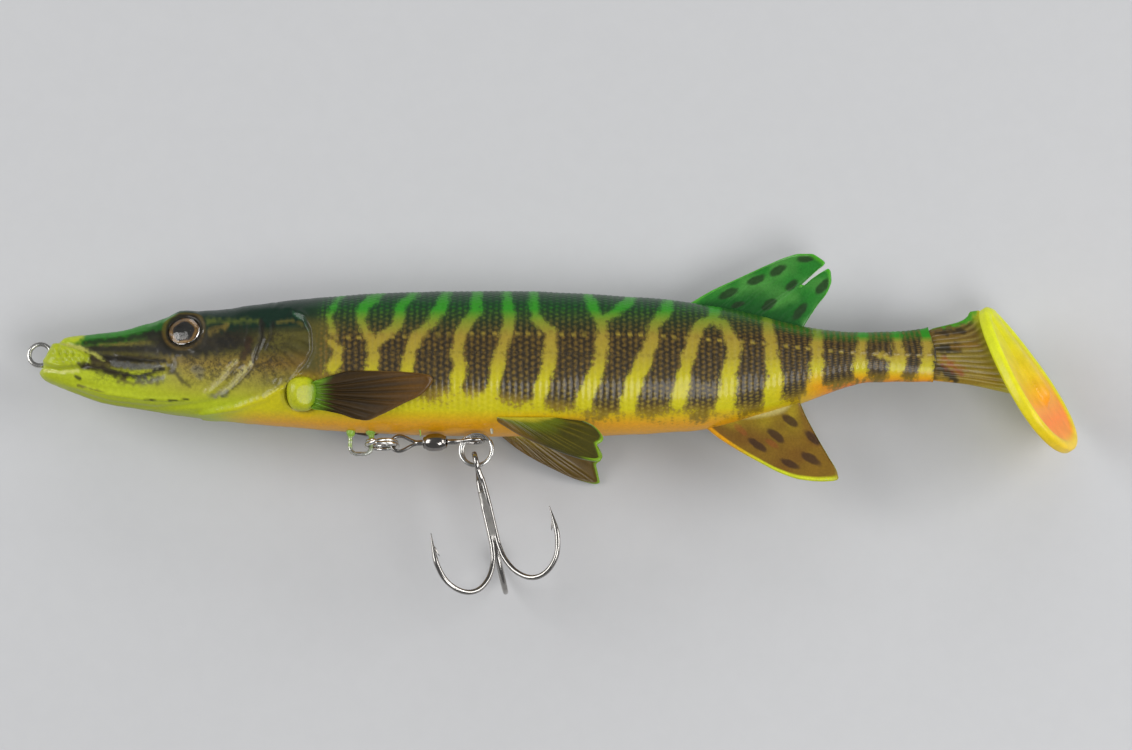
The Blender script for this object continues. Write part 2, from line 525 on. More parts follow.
# Strokes of the head's paint: points, half width, softness, colour, strength
STROKES = [
    ([(4.6, 3.2), (10, 4.0), (16, 4.6), (20.5, 6.0), (25, 7.9)], 0.8, 1.4, GRASS * 0.9, 0.8),
    ([(3.6, 1.5), (5, 3.2), (8, 3.6)], 1.1, 1.5, LIME, 0.95),
    ([(3.2, 0.9), (6, 0.2), (8.8, -1.0)], 1.7, 0.9, LIME * 0.9, 1.0),
    ([(5, 2.2), (8, 1.5), (11, 0.4), (13, -0.8)], 0.35, 0.4, srgb(170, 170, 80), 0.9),
    ([(9, 2.4), (14, 2.7), (19, 3.5), (24, 4.3)], 0.45, 0.6, SOOT, 0.8),
    ([(10.5, 1.2), (15, 1.1), (20, 1.2), (25, 0.8)], 0.6, 0.7, SOOT, 0.85),
    ([(12, 2.0), (17, 2.0), (22, 2.3)], 0.25, 0.5, OLIVE * 1.2, 0.8),
    ([(13, 0.3), (18, 0.1), (22.5, 0.0)], 0.3, 0.7, OLIVE * 0.7, 0.7),
    ([(13, -0.5), (19, -1.0), (25, -1.2)], 0.45, 0.4, SOOT, 0.9),
    ([(15, -1.6), (19, -2.2), (23.6, -2.2)], 0.65, 0.5, SILVER * 0.55, 0.85), (SLIT, 0.4, 0.5, SOOT, 0.95),
    ([(9, -2.0), (13, -2.9), (17, -4.3)], 0.7, 1.0, UMBER, 0.9),
    ([(19.5, -4.9), (22, -4.9), (24.6, -4.4)], 0.5, 0.9, SILVER * 0.6, 0.75),
    ([(16, -5.0), (19, -5.5), (24, -5.4)], 0.4, 0.9, OLIVE, 0.7), ([(26.5, -1.6), (26, -2.6)], 0.9, 0.8, UMBER, 0.7),
    ([(25.4, -1.9), (26.2, -2.0)], 0.3, 0.4, SILVER, 0.7),
    ([(26.2, -3.0), (28, -4.4), (29.6, -5.8)], 0.35, 0.8, UMBER, 0.75),
    ([(7.6, -4.1), (8.4, -4.5)], 0.25, 0.4, SOOT, 0.85),
    ([(1.4, -3.0), (4.6, -3.3), (8, -3.0)], 0.3, 0.4, srgb(205, 205, 120), 0.8),
    ([(21, -8.5), (25, -8.8), (29.5, -8.5)], 0.14, 0.25, SOOT, 0.9), ([(8, -5.9), (13, -7.1)], 0.15, 0.3, OLIVE, 0.8),
    ([(24, 2.0), (28, 0.6), (33, 1.2), (38, 2.6)], 1.3, 1.6, SOOT, 0.9),
    ([(22, 3.8), (25.5, 3.0)], 0.9, 1.0, SOOT, 0.7),
    ([(33, 6.6), (36.5, 6.2), (40, 6.9), (42.5, 6.8)], 0.3, 1.2, srgb(90, 100, 36), 0.6),
    ([(33.5, 4.4), (36.5, 5.6)], 0.6, 0.8, GOLD * 0.8, 0.6), ([(36, 2.6), (40.2, 2.4)], 1.1, 1.4, SOOT, 0.7),
    ([(41.2, 2.6), (41.0, 0.9), (40.2, -0.2)], 0.7, 0.6, srgb(48, 30, 18), 0.85),
    ([(43.4, 6.9), (43.8, 3.2), (42.2, -1.2)], 0.4, 0.5, SOOT, 0.9),
    ([(45.6, 6.6), (45.7, 4.4), (44.6, 1.6)], 0.35, 0.6, SOOT, 0.7),
    ([(46.5, 6.6), (49.2, 6.9), (51.2, 6.2)], 0.3, 0.7, OLIVE, 0.7),
    ([(49.4, 8.2), (51.7, 6.9), (52.5, 5.0)], 0.22, 0.5, srgb(20, 84, 44), 0.6),
    ([(53.0, 3.6), (53.4, 0.6), (52.1, -1.6), (48.9, -5.1)], 0.18, 0.4, srgb(140, 132, 70), 0.45),
    ([(38.8, -0.9), (35.7, -4.2), (32.5, -7.2)], 0.25, 0.4, srgb(170, 160, 95), 0.85),
    ([(41.6, -1.6), (38.2, -5.0), (34.4, -8.2)], 0.28, 0.4, srgb(180, 172, 110), 0.85),
    ([(42.9, -1.8), (39.4, -5.4), (36, -8.2)], 0.25, 0.5, UMBER, 0.7),
    ([(39.8, -1.5), (37, -4.6)], 0.2, 0.4, UMBER, 0.6), ([(33.6, -8.2), (36.6, -7.6)], 0.5, 0.7, SILVER * 0.5, 0.6),
    ([(31, -2.6), (31.6, -3.4)], 0.9, 1.0, SILVER * 0.6, 0.55),
]


def profile(x):
    return curve(TOP, x), curve(BOTTOM, x), curve(WIDTH, x), curve(SQUARE, x)


def body_point(x, a):
    """Points of the plain body: x and the angle round it, 0 at the left flank, up positive."""
    top, low, wide, n = profile(x)
    c, s = np.cos(a), np.sin(a)
    r = (np.abs(c) ** n + np.abs(s) ** n) ** (-1.0 / n)
    return np.stack([x + 0 * a, (top + low) / 2 + (top - low) / 2 * r * s, wide * r * c], axis=-1)


def seen_height(p):
    """Height in side view from slightly above, the same on both flanks."""
    return SEEN_Y * p[..., 1] + SEEN_Z * np.abs(p[..., 2])


def from_gill(x, v):
    """Distance from the gill's edge, positive ahead of it, and the share along the edge."""
    d, along, side = to_line(x, v, GILL)
    return d * -side, along


def from_fan(x, v):
    """Direction and distance from where the gill plate's ribs meet."""
    return np.arctan2(v - FAN[1], x - FAN[0]), np.hypot(x - FAN[0], v - FAN[1])


def from_eye(x, v):
    return np.hypot((x - EYE[0]) / 1.06, v - EYE[1])


def from_knob(x, v):
    return np.hypot(x - KNOB[0], (v - KNOB[1]) / 1.05)


def sculpt(x, v, a):
    """Outward relief of the skin in millimetres."""
    out = np.zeros(np.shape(x))
    flank = smooth(0.05, 0.35, np.abs(np.cos(a)))
    for pts, w, h in FOLDS:
        d, along, _ = to_line(x, v, pts)
        ends = smooth(0, 0.12, along) * smooth(1, 0.88, along)
        out += h * bell(d, 0, w) * (0.25 + 0.75 * ends) * flank
    bite = inside(x, v, BITE)
    teeth = np.cos((x + 0.25 * v) * 2 * math.pi / 1.2) * 0.28 * smooth(0.1, 0.8, bite)
    teeth = teeth * smooth(-2.2, -0.2, v) + 0.2 * np.cos(v * 2 * math.pi / 1.5) * smooth(0.2, 0.8, bite)
    out += (-1.15 * smooth(-0.35, 0.45, bite) + teeth * smooth(3.2, 4.4, x)) * flank
    out += 0.32 * smooth(-0.2, 0.5, inside(x, v, MAXILLA)) * flank
    signed, along = from_gill(x, v)
    plate = smooth(-0.12, 0.3, signed) * smooth(14, 3, signed) * smooth(60, 54, x) * smooth(28, 36, x)
    plate = plate * smooth(9.2, 7.4, v)
    out += (0.55 * plate - 0.34 * bell(signed, -0.45, 0.4) * smooth(0, 0.1, along)) * flank
    fan, reach = from_fan(x, v)
    ribs = np.sin(fan * 26 + 1.5 * noise(x * 0.4, v * 0.4, 3)) * smooth(4, 7, reach) * smooth(0.2, 1.2, signed)
    out += 0.07 * ribs * smooth(43, 45, x) * smooth(16, 13, reach) * flank
    out += 0.14 * bell(from_eye(x, v), 4.2, 0.4) * flank
    out += 0.3 * bell(from_knob(x, v), 3.75, 0.35) * flank
    dash = np.cos(x * 2 * math.pi / DASH_PITCH)
    line = v - curve(SIDE_LINE, x)
    body = smooth(54, 57, x)
    out += body * flank * (0.14 * bell(line, -0.34, 0.22) * smooth(-0.2, 0.5, dash)
                           - 0.16 * bell(line, 0.08, 0.3) * smooth(-0.4, 0.5, dash))
    out += 0.12 * wobble(x * 0.35, v * 0.35 + 40 * np.sign(np.cos(a)), 7) * smooth(2, 12, x)
    out += 0.05 * wobble(x * 1.3, v * 1.3, 9) * smooth(58, 50, x)
    return out


def seat(p, at, change):
    """Moves the skin under one part in that part's own frame, Z pointing out of the body."""
    m = np.array(at)
    local = (p - m[:3, 3]) @ np.linalg.inv(m[:3, :3]).T
    local[..., 2] = change(local)
    return local @ m[:3, :3].T + m[:3, 3]


def under_eye(local):
    """Sinks the skin under the lens and wraps a lid round its rim."""
    r = np.hypot(local[..., 0], local[..., 1])
    lid = curve([(0, -0.1), (2.95, -0.1), (3.02, 0.2), (3.12, 1.05), (3.3, 1.32), (3.55, 1.2), (4.2, 0.75),
                 (6, 0.6)], r)
    return lerp(local[..., 2], lid, (local[..., 2] > -1.8) * smooth(4.5, 3.35, r))


def under_knob(local):
    """Sinks the skin under the knob of a pectoral fin."""
    near = (local[..., 2] > -1.5) * smooth(3.75, 3.2, np.hypot(local[..., 0] / 0.94, local[..., 1]))
    return lerp(local[..., 2], np.minimum(local[..., 2], -0.3), near)


def skin():
    """The soft skin from the lip to the tail fin: rings with their relief, sunk under eyes and knobs."""
    around = 152
    xs = np.concatenate([np.arange(0.12, 57, 0.25), np.linspace(57.1, 173.0, 400)])
    x2, a2 = np.meshgrid(xs, angles(around), indexing="ij")
    p = body_point(x2, a2)
    v = seen_height(p)
    shift = 0.2 - 1.2 * smooth(0.5, 5, v) - 0.5 * smooth(-1, -5, v)
    p[..., 0] += shift * smooth(164, 173, x2)
    du = np.gradient(p, axis=0)
    dv = np.roll(p, -1, 1) - np.roll(p, 1, 1)
    normal = np.cross(dv, du)
    normal /= np.linalg.norm(normal, axis=-1)[..., None]
    x, v = p[..., 0], seen_height(p)
    scale_u = (np.arange(len(xs))[:, None] + 0 * a2) / 4.0
    scale_w = (np.arange(around)[None, :] + 0 * x2) / 2.0
    scaly = (smooth(53.6, 56, x) * smooth(172.4, 171, x2) * smooth(-0.98, -0.7, np.sin(a2))
             * smooth(-13.5, -10, v))
    relief = sculpt(x, v, a2) - 0.03 * scaly * np.cos(2 * math.pi * scale_u) - 0.12 * smooth(172.2, 173.0, x2)
    p = p + normal * relief[..., None]
    near = np.hypot(p[..., 0], p[..., 1])
    slot = smooth(1.25, 0.85, np.abs(p[..., 2])) * (near < EYE_SLOT_R)
    grow = lerp(1.0, EYE_SLOT_R / np.maximum(near, 0.5), slot)
    p[..., :2] *= grow[..., None]

    for side in MIRROR.values():
        p = seat(p, side @ EYE_AT, under_eye)
        p = seat(p, side @ KNOB_AT @ spin(34, "X"), under_knob)

    def with_poles(field):
        flat = field.reshape(x2.size, -1)
        return np.vstack([flat, flat[0], flat[-1]])
    floats, colours = skin_tones(x, v, a2, scaly)
    floats.update(scale_u=scale_u, scale_w=scale_w, scaly=scaly)
    floats = {k: with_poles(f) for k, f in floats.items()}
    colours = {k: with_poles(c) for k, c in colours.items()}
    verts = np.vstack([p.reshape(-1, 3), [[0.0, -3.65, 0.0]], [[172.2, -0.1, 0.0]]])
    faces = [f[::-1] for f in sleeve_faces(len(xs), around)]
    obj = make("body_skin", verts, faces, MAT_SKIN, floats, colours)
    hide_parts("front_body")
    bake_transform(obj)


def skin_tones(x, v, a, scaly):
    """The masks and colours that the skin's material mixes."""
    wob = wobble(x * 0.5, v * 0.5, 21) * 0.9 + wobble(x * 1.4, v * 1.4, 22) * 0.7
    stripe = np.full(x.shape, 9.0)
    for pts, w0, w1 in BARS:
        d, along, _ = to_line(x, v, pts)
        stripe = np.minimum(stripe, d - lerp(w0, w1, along) * 0.78)
    floor = curve(DARK_FLOOR, x)
    stripe = np.minimum(stripe + wob * 0.7, (v - floor + wob * 1.7 + 0.5 * np.minimum(stripe, 2.6) + 0.2) * 0.42)
    fading = smooth(floor + 1.6, floor - 0.6, v + 0.6 * wob)
    below = curve(TOP, x) * SEEN_Y - v
    pale = blend_colours([(-16.4, FLAME * 0.35 + AMBER * 0.65), (-15.2, AMBER), (-13.2, AMBER), (-10.4, LEMON),
                          (-4.5, LEMON * 0.86), (-0.5, TAN * 0.75 + LEMON * 0.18), (3.5, TAN * 0.92),
                          (6.4, TAN * 0.5 + GRASS * 0.5), (8.6, GRASS * 1.1), (13, GRASS)],
                         v - 1.8 * smooth(120, 165, x) * smooth(2, -4, v))
    throat = blend_colours([(-14, srgb(150, 190, 32)), (-9, LIME), (0, LIME)], v)
    pale = tint(throat, pale, smooth(30, 44, x))
    low_rear = blend_colours([(-6, FLAME), (-4.6, AMBER), (-2.8, LEMON * 0.9), (0, TAN * 1.05), (2.4, TAN * 0.9),
                              (3.6, GRASS), (6, GRASS)], v)
    pale = tint(pale, low_rear, smooth(140, 160, x))
    dark = blend_colours([(-12, BRONZE * 0.8), (-8.5, UMBER * 1.3), (-2, UMBER), (3.5, UMBER * 0.95),
                          (6.5, UMBER * 0.5 + PINE * 0.4), (10, PINE * 0.8), (13, PINE * 0.75)], v)
    dark = tint(dark, srgb(136, 112, 20), 0.75 * fading)
    net = blend_colours([(-10, TAN), (-3, BRONZE * 1.05), (3.5, BRONZE * 0.9), (6, OLIVE * 0.95),
                         (9, GRASS * 0.62), (13, PINE * 1.3)], v)
    rim = smooth(1.6, 0.2, below) * smooth(100, 60, x)
    dark, pale = tint(dark, NIGHT * 0.9, rim * 0.7), tint(pale, GRASS * 0.7, rim * 0.5)
    dark = tint(dark, GRASS * 0.6, smooth(118, 150, x) * smooth(2.4, 0.6, below) * 0.8)
    pale = tint(pale, OLIVE, 0.7 * bell(from_knob(x, v), 3.4, 0.3))
    signed = from_gill(x, v)[0]
    behind = smooth(0.2, -0.6, signed) * smooth(60, 55.5, x) * smooth(-4, -2, v) * smooth(8, 5, v)
    dark = tint(dark, OLIVE * 0.85, behind * 0.75)
    dash = smooth(0.1, 0.6, np.cos(x * 2 * math.pi / DASH_PITCH)) * smooth(54, 57, x)
    above = v - curve(SIDE_LINE, x)
    mark, shade = dash * bell(above, -0.3, 0.25), dash * bell(above, 0.15, 0.28)
    dark = tint(tint(dark, SOOT, 0.7 * shade), TAN * 1.1, 0.8 * mark)
    net = tint(net, TAN * 1.2, 0.8 * mark)
    pale = tint(pale, BRONZE, 0.45 * shade)

    back = smooth(48, 56, x + 2.5 * wobble(x * 0.4, v * 0.4, 12))
    head = smooth(-0.25, 0.25, signed) * smooth(56, 54.2, x)
    head = np.maximum(head, np.where(v > 6.8, 1 - back, 0) * smooth(6.6, 7.8, v))
    head = np.maximum(head, smooth(36, 29, x + 0.5 * (v + 10)))
    mottle = smooth(26, 31, x) * smooth(52, 46, x) * smooth(-7.5, -2.5, v) * smooth(7.5, 3.5, v) * 0.75
    mottle = np.maximum(mottle, 0.35 * smooth(9, 13, x) * smooth(28, 22, x) * smooth(-6, -4.6, v) * smooth(5, 3, v))
    floats = {"stripe": stripe, "head_amount": head, "mottle": mottle,
              "net_amount": smooth(0.0, 0.4, scaly) * lerp(0.8, 0.45, smooth(8, 11, v))}
    return floats, {"pale_tone": pale, "dark_tone": dark, "net_tone": net, "head_paint": head_tones(x, v, a)}


def head_tones(x, v, a):
    """The head's own paint, from chin to crown in three zones, then the strokes and the eye's ring."""
    height = curve(TOP, x) - curve(BOTTOM, x)
    h = (v - curve(BOTTOM, x) * SEEN_Y) / (height * SEEN_Y)
    front = blend_colours([(0, LIME * 0.8), (0.18, LIME), (0.42, LIME * 0.95), (0.53, OLIVE * 0.9),
                           (0.62, UMBER * 1.2), (0.8, OLIVE * 0.55 + PINE * 0.2), (0.9, GRASS * 0.55),
                           (1.0, GRASS * 0.8)], h)
    cheek = blend_colours([(0, LIME * 0.85), (0.14, LIME), (0.26, srgb(160, 158, 44)), (0.4, srgb(142, 130, 52)),
                           (0.52, GOLD), (0.62, OLIVE * 0.62), (0.72, UMBER * 0.85), (0.84, NIGHT),
                           (1, NIGHT * 0.9)], h)
    plate = blend_colours([(0, AMBER * 0.95), (0.1, LEMON), (0.2, srgb(172, 168, 40)), (0.34, srgb(132, 124, 50)),
                           (0.5, BRONZE), (0.62, OLIVE * 0.6), (0.74, OLIVE * 0.75), (0.82, NIGHT), (1, NIGHT)], h)
    paint = tint(tint(front, cheek, smooth(17, 30, x)), plate, smooth(39, 46, x))
    crown = smooth(0.5, 0.1, np.abs(np.cos(a))) * (np.sin(a) > 0) * smooth(4, 9, x)
    crown_tone = blend_colours([(6, GRASS * 0.8), (16, GRASS * 0.55), (24, PINE * 0.9), (34, NIGHT)],
                               x + 3 * wobble(x * 0.5, a * 6, 34))
    paint = tint(paint, crown_tone, crown * 0.9)
    tip = x - 1.6 * wobble(x * 0.9, v * 0.9, 33)
    paint = tint(paint, LIME * 0.95, smooth(9.0, 3.4, tip))
    paint = strokes(paint, x, v, STROKES, 1.7, 31)
    fan, reach = from_fan(x, v)
    veins = smooth(0.2, 0.9, np.sin(fan * 26 + 3 * noise(x * 0.4, v * 0.4, 3))) * smooth(5, 7, reach)
    paint = tint(paint, paint * 0.55, veins * 0.55 * smooth(43, 45, x))
    ring = from_eye(x, v) + 3 * smooth(0.62, 0.3, np.abs(np.cos(a)))
    paint = tint(paint, BRONZE * 0.7, 0.6 * smooth(4.3, 3.8, ring))
    return tint(paint, SOOT, 0.9 * smooth(3.6, 3.3, ring))


skin()


# ---------- the tail ----------

LEAN, TWIST = 29, -29
PADDLE_AT = move((190.9, -4.9, 0)) @ spin(LEAN, "Z") @ spin(TWIST, "Y")
FOOT_X = 186.61  # where the tail fin meets the paddle's front face
TAIL_STROKES = [
    ([(173, 4.2), (178.6, 4.5)], 0.5, 0.8, UMBER, 0.9),
    ([(172.8, 1.2), (175.6, 1.0), (177.6, 1.6)], 0.85, 1.0, SOOT, 0.9),
    ([(176.8, 1.5), (181, 2.1)], 0.4, 0.9, srgb(130, 96, 22), 0.8),
    ([(172.9, -2.3), (174.6, -2.9), (176.6, -4.6)], 0.9, 1.0, UMBER, 0.9),
    ([(174.5, -1.2), (177, -2.6), (178.2, -3.4)], 0.5, 1.4, srgb(140, 60, 28), 0.7),
    ([(172.6, 5), (172.9, -4.6)], 0.5, 0.8, BRONZE * 0.7, 0.8),
    ([(171, 5.6), (176, 6.2), (179.6, 7.2), (181, 8.8)], 0.7, 0.8, SPRING * 0.85, 0.9),
    ([(171, -5.3), (176, -5.5)], 0.3, 0.7, AMBER, 0.8),
]


def caudal():
    """The rayed tail fin between the scales and the paddle."""
    rows, around = 84, 132
    t = np.linspace(0, 1.02, rows)[:, None]
    a = angles(around)[None, :]
    top = curve([(0, 4.5), (0.05, 4.8), (0.12, 5.25), (0.3, 5.8), (0.62, 6.8), (0.76, 7.7), (0.85, 8.6),
                 (1.02, 8.9)], t)
    low = curve([(0, -4.9), (0.12, -5.15), (0.43, -5.85), (0.8, -7.5), (1.02, -8.5)], t)
    wide = curve([(0, 1.75), (0.15, 1.8), (0.5, 1.7), (0.85, 1.75), (1.02, 2.3)], t)
    c, s = np.cos(a), np.sin(a)
    r = (np.abs(c) ** 2.3 + np.abs(s) ** 2.3) ** (-1 / 2.3)
    y = (top + low) / 2 + (top - low) / 2 * r * s
    h = (y - low) / (top - low)
    rays = np.cos(h * 2 * math.pi * 13 + 0.8 * np.sin(t * 5)) * smooth(0.0, 0.12, t) * smooth(1.0, 0.86, t)
    z = wide * r * c * (1 + 0.1 * rays * smooth(0.1, 0.4, np.abs(c)))
    x = lerp(171.4, FOOT_X - math.tan(math.radians(LEAN)) * y, t)
    p = np.stack([x + 0 * a, y, z], axis=-1)
    v = seen_height(p)
    paint = blend_colours([(-7.6, srgb(166, 156, 20)), (-5.4, srgb(142, 116, 26)), (0, srgb(130, 112, 40)),
                           (4, srgb(104, 80, 28)), (5.8, srgb(78, 68, 20)), (7.4, srgb(66, 124, 26))], v)
    paint = tint(paint, srgb(190, 172, 96), smooth(0.1, 0.9, rays) * 0.3 * smooth(176, 180, x))
    paint = tint(paint, srgb(190, 188, 34), smooth(0.72, 0.98, t) * np.ones_like(x))
    paint = strokes(paint, x, v, TAIL_STROKES, 1.6, 41)
    verts = np.vstack([p.reshape(-1, 3), [[171.2, 0, 0]], [[FOOT_X + 0.4, 0, 0]]])
    colours = np.vstack([paint.reshape(-1, 3), paint[0, 0], paint[-1, 0]])
    faces = [f[::-1] for f in sleeve_faces(rows, around)]
    obj = make("caudal_fin", verts, faces, MAT_FIN, colours={"paint": colours})
    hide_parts("tail_stem")
    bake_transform(obj)


def paddle():
    """The leaning disc in rings, from the middle of its rear face round the rim to its front face."""
    around, half_l, half_w, half_t = 200, 16.2, 11.0, 1.2
    face = np.linspace(0, 0.93, 46)
    turn = np.linspace(0, math.pi / 2, 8)[1:]
    edge = 0.93 + 0.07 * np.sin(turn)
    drop = half_t - 0.75 * (1 - np.cos(turn))
    rho = np.concatenate([face, edge, [1.0, 1.0], edge[::-1], face[::-1][:36:3], [0.0]])
    depth = np.concatenate([np.full(46, half_t), drop, [0.2, -0.2], -drop[::-1], np.full(12, -half_t), [-half_t]])
    rear_rings = len(face) + len(turn)
    a = angles(around)
    y = half_l * rho[:, None] * np.cos(a)[None, :]
    z = half_w * rho[:, None] * np.sin(a)[None, :] * (1 - 0.35 * y / half_l)
    is_rear = (np.arange(len(rho)) < rear_rings)[:, None] + 0 * y
    ring = rho[:, None] + 0 * y
    dish = -0.42 * smooth(0.93, 0.84, ring)
    span = curve([(-6.6, 0.05), (-6.2, 0.6), (-5.2, 1.5), (-3.8, 2.1), (-2, 2.3), (4, 2.2), (10, 2.0),
                  (16.2, 1.7)], y)
    rise = curve([(-7.2, 0), (-6.3, 0.4), (-5.4, 1.6), (-4, 2.1), (0, 1.9), (6, 1.4), (12, 0.8), (16.2, 0.3)], y)
    crown = np.sqrt(np.clip(1 - (z / np.maximum(span, 0.05)) ** 2, 0, 1)) * (y > -6.6)
    foot = smooth(span + 2.4, span, np.abs(z)) * smooth(-8.6, -6.4, y)
    ridge = rise * (0.78 * crown + 0.22 * foot)
    x = depth[:, None] + is_rear * (dish + ridge * smooth(1.0, 0.9, ring))
    x = x + 0.05 * wobble(y * 0.5 + 9, z * 0.5, 51)
    rear = blend_colours([(-16.2, srgb(226, 196, 26)), (-13, srgb(236, 140, 20)), (-9.5, srgb(240, 126, 22)),
                          (-6, srgb(232, 150, 20)), (0, srgb(218, 186, 22)), (8, srgb(206, 198, 22)),
                          (16.2, srgb(204, 208, 28))], y + 1.2 * z / half_w)
    rim = blend_colours([(-16.2, srgb(228, 190, 20)), (-6, srgb(220, 205, 24)), (8, srgb(212, 218, 30)),
                         (16, srgb(200, 206, 30))], y)
    front = blend_colours([(-16.2, srgb(226, 176, 24)), (-4, srgb(214, 206, 26)), (16, srgb(196, 212, 32))], y)
    paint = tint(rim, rear, is_rear * smooth(0.93, 0.84, ring))
    edge_shade = smooth(0.8, 0.95, ring) * smooth(-4, -11, z) * smooth(-14, -8, y)
    paint = tint(paint, srgb(186, 200, 30), is_rear * edge_shade * 0.6)
    paint = tint(paint, front, (1 - is_rear) * (depth[:, None] < -1.0) * np.ones_like(y))

    def poles_last(field):
        flat = field.reshape(-1, 3)
        return np.vstack([flat[around:-around], flat[0], flat[-1]])
    verts = poles_last(np.stack([x, y, z + 0.4], axis=-1))
    faces = sleeve_faces(len(rho) - 2, around)
    obj = make("paddle_tail", verts, faces, MAT_PADDLE, colours={"paint": poles_last(paint)})
    place(obj, PADDLE_AT)
    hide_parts("tail_paddle")
    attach(obj, "tail_paddle")


# ---------- fins ----------

def leaf(name, root, margin, thick, rays, rib, paint, at=Matrix(), bow=0.0, sink=0.0, rows=46, cols=170):
    """A fin whose rays run from its root line to its margin, both given as (share, x, y)."""
    s = np.linspace(0, 1, rows)[:, None]
    t = np.linspace(0, 1, cols)[None, :]
    root, margin = np.array(root, float), np.array(margin, float)
    rx, ry = curve(root[:, :2], t), curve(root[:, [0, 2]], t)
    mx, my = curve(margin[:, :2], t), curve(margin[:, [0, 2]], t)
    x, y = lerp(rx, mx, s), lerp(ry, my, s)
    length = np.hypot(mx - rx, my - ry)
    to_margin = (1 - s) * length
    flank = np.minimum(t, 1 - t) * np.hypot(np.gradient(mx, axis=1), np.gradient(my, axis=1)) * cols
    edge = np.minimum(to_margin, np.maximum(flank, (1 - s) * 2.0))
    round_off = np.sqrt(1 - (1 - np.clip(edge / 0.34, 0, 1)) ** 2)
    bead = 0.2 * bell(to_margin, 0.42, 0.3)
    uneven = t + 0.012 * np.sin(t * 37) + 0.01 * np.sin(s * 5 + t * 9)
    ribs = rib * np.cos(uneven * rays * 2 * math.pi) * smooth(0.0, 0.14, s) * smooth(0.2, 1.6, to_margin)
    ribs = ribs * lerp(1.0, 0.35, smooth(0.45, 0.95, s))
    half = (lerp(thick[0], thick[1], s) / 2 + bead + ribs) * round_off + 0.012
    wave = bow * np.sin(s * math.pi * 0.5) ** 2 - sink * smooth(0.22, 0.0, s)
    up, down = np.stack([x, y, wave + half], -1), np.stack([x, y, wave - half], -1)
    verts = np.vstack([up.reshape(-1, 3), down.reshape(-1, 3)])
    colour = paint(x, y, s + 0 * t, t + 0 * s, to_margin, ribs / max(rib, 1e-6))
    n = rows * cols
    top = grid_faces(rows, cols, False)
    faces = top + [[n + i for i in f[::-1]] for f in top]
    border = list(range(cols)) + [i * cols + cols - 1 for i in range(1, rows)]
    border += [(rows - 1) * cols + j for j in range(cols - 2, -1, -1)] + [i * cols for i in range(rows - 2, 0, -1)]
    faces += [[b, a, n + a, n + b] for a, b in zip(border, border[1:] + border[:1])]
    obj = make(name, verts, faces, MAT_FIN, colours={"paint": np.vstack([colour.reshape(-1, 3)] * 2)})
    place(obj, at)
    outward(obj)
    return obj


def spots(x, y, colour, rows, tone, strength):
    """Soft oval spots: centre, half length, half width, slope in degrees."""
    for cx, cy, rx, ry, slope in rows:
        c, s = math.cos(math.radians(slope)), math.sin(math.radians(slope))
        u, w = (x - cx) * c + (y - cy) * s, -(x - cx) * s + (y - cy) * c
        d = np.hypot(u / rx, w / ry) + 0.25 * wobble(x * 1.5, y * 1.5, 61)
        colour = tint(colour, tone, strength * smooth(1.25, 0.75, d))
    return colour


def dorsal():
    """The dorsal fin, spotted."""
    def paint(x, y, s, t, rim, rib):
        pale = smooth(0.2, 0.8, noise(x * 0.35, y * 0.35, 5)) * smooth(0.2, 0.5, s)
        c = tint(srgb(16, 74, 22), srgb(30, 108, 30), smooth(0.1, 0.7, s))
        c = tint(c, srgb(84, 146, 66), 0.45 * pale)
        c = spots(x, y, c, [(148.7, 19.4, 1.9, 0.85, 12), (143.0, 16.8, 1.8, 0.85, 30), (138.8, 14.9, 1.9, 0.8, 25),
                            (133.4, 12.2, 2.1, 0.85, 25), (145.7, 13.9, 1.5, 0.75, 42), (141.2, 9.9, 1.7, 0.85, 40),
                            (151.7, 13.6, 2.0, 0.85, 48), (147.2, 8.6, 2.1, 0.85, 52), (135.2, 9.9, 1.4, 0.6, 20)],
                  srgb(26, 44, 20), 0.85)
        return tint(c, srgb(66, 156, 22), 0.95 * smooth(1.2, 0.35, rim))
    root = [(0, 126.5, 9.3), (0.5, 133.5, 7.8), (0.72, 138.6, 6.6), (1, 147.4, 4.2)]
    margin = [(0, 125.8, 10.3), (0.1, 129.8, 12.7), (0.22, 136.1, 15.7), (0.34, 141, 18.0), (0.44, 145, 19.7),
              (0.5, 147.5, 20.3), (0.55, 149.6, 20.3), (0.6, 151.2, 19.5), (0.635, 152.3, 18.4), (0.66, 151.0, 17.2),
              (0.69, 149.4, 15.7), (0.72, 147.7, 14.1), (0.735, 148.2, 14.0), (0.76, 149.8, 15.3),
              (0.79, 151.5, 16.5), (0.82, 152.9, 17.3), (0.845, 153.4, 16.6), (0.88, 153.5, 14.9),
              (0.91, 152.8, 12.8), (0.95, 150.6, 9.8), (1, 147.6, 5.2)]
    obj = leaf("dorsal_fin_leaf", root, margin, (1.5, 0.55), 17, 0.022, paint, cols=260, rows=64)
    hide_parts("dorsal_fin")
    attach(obj, "dorsal_fin")


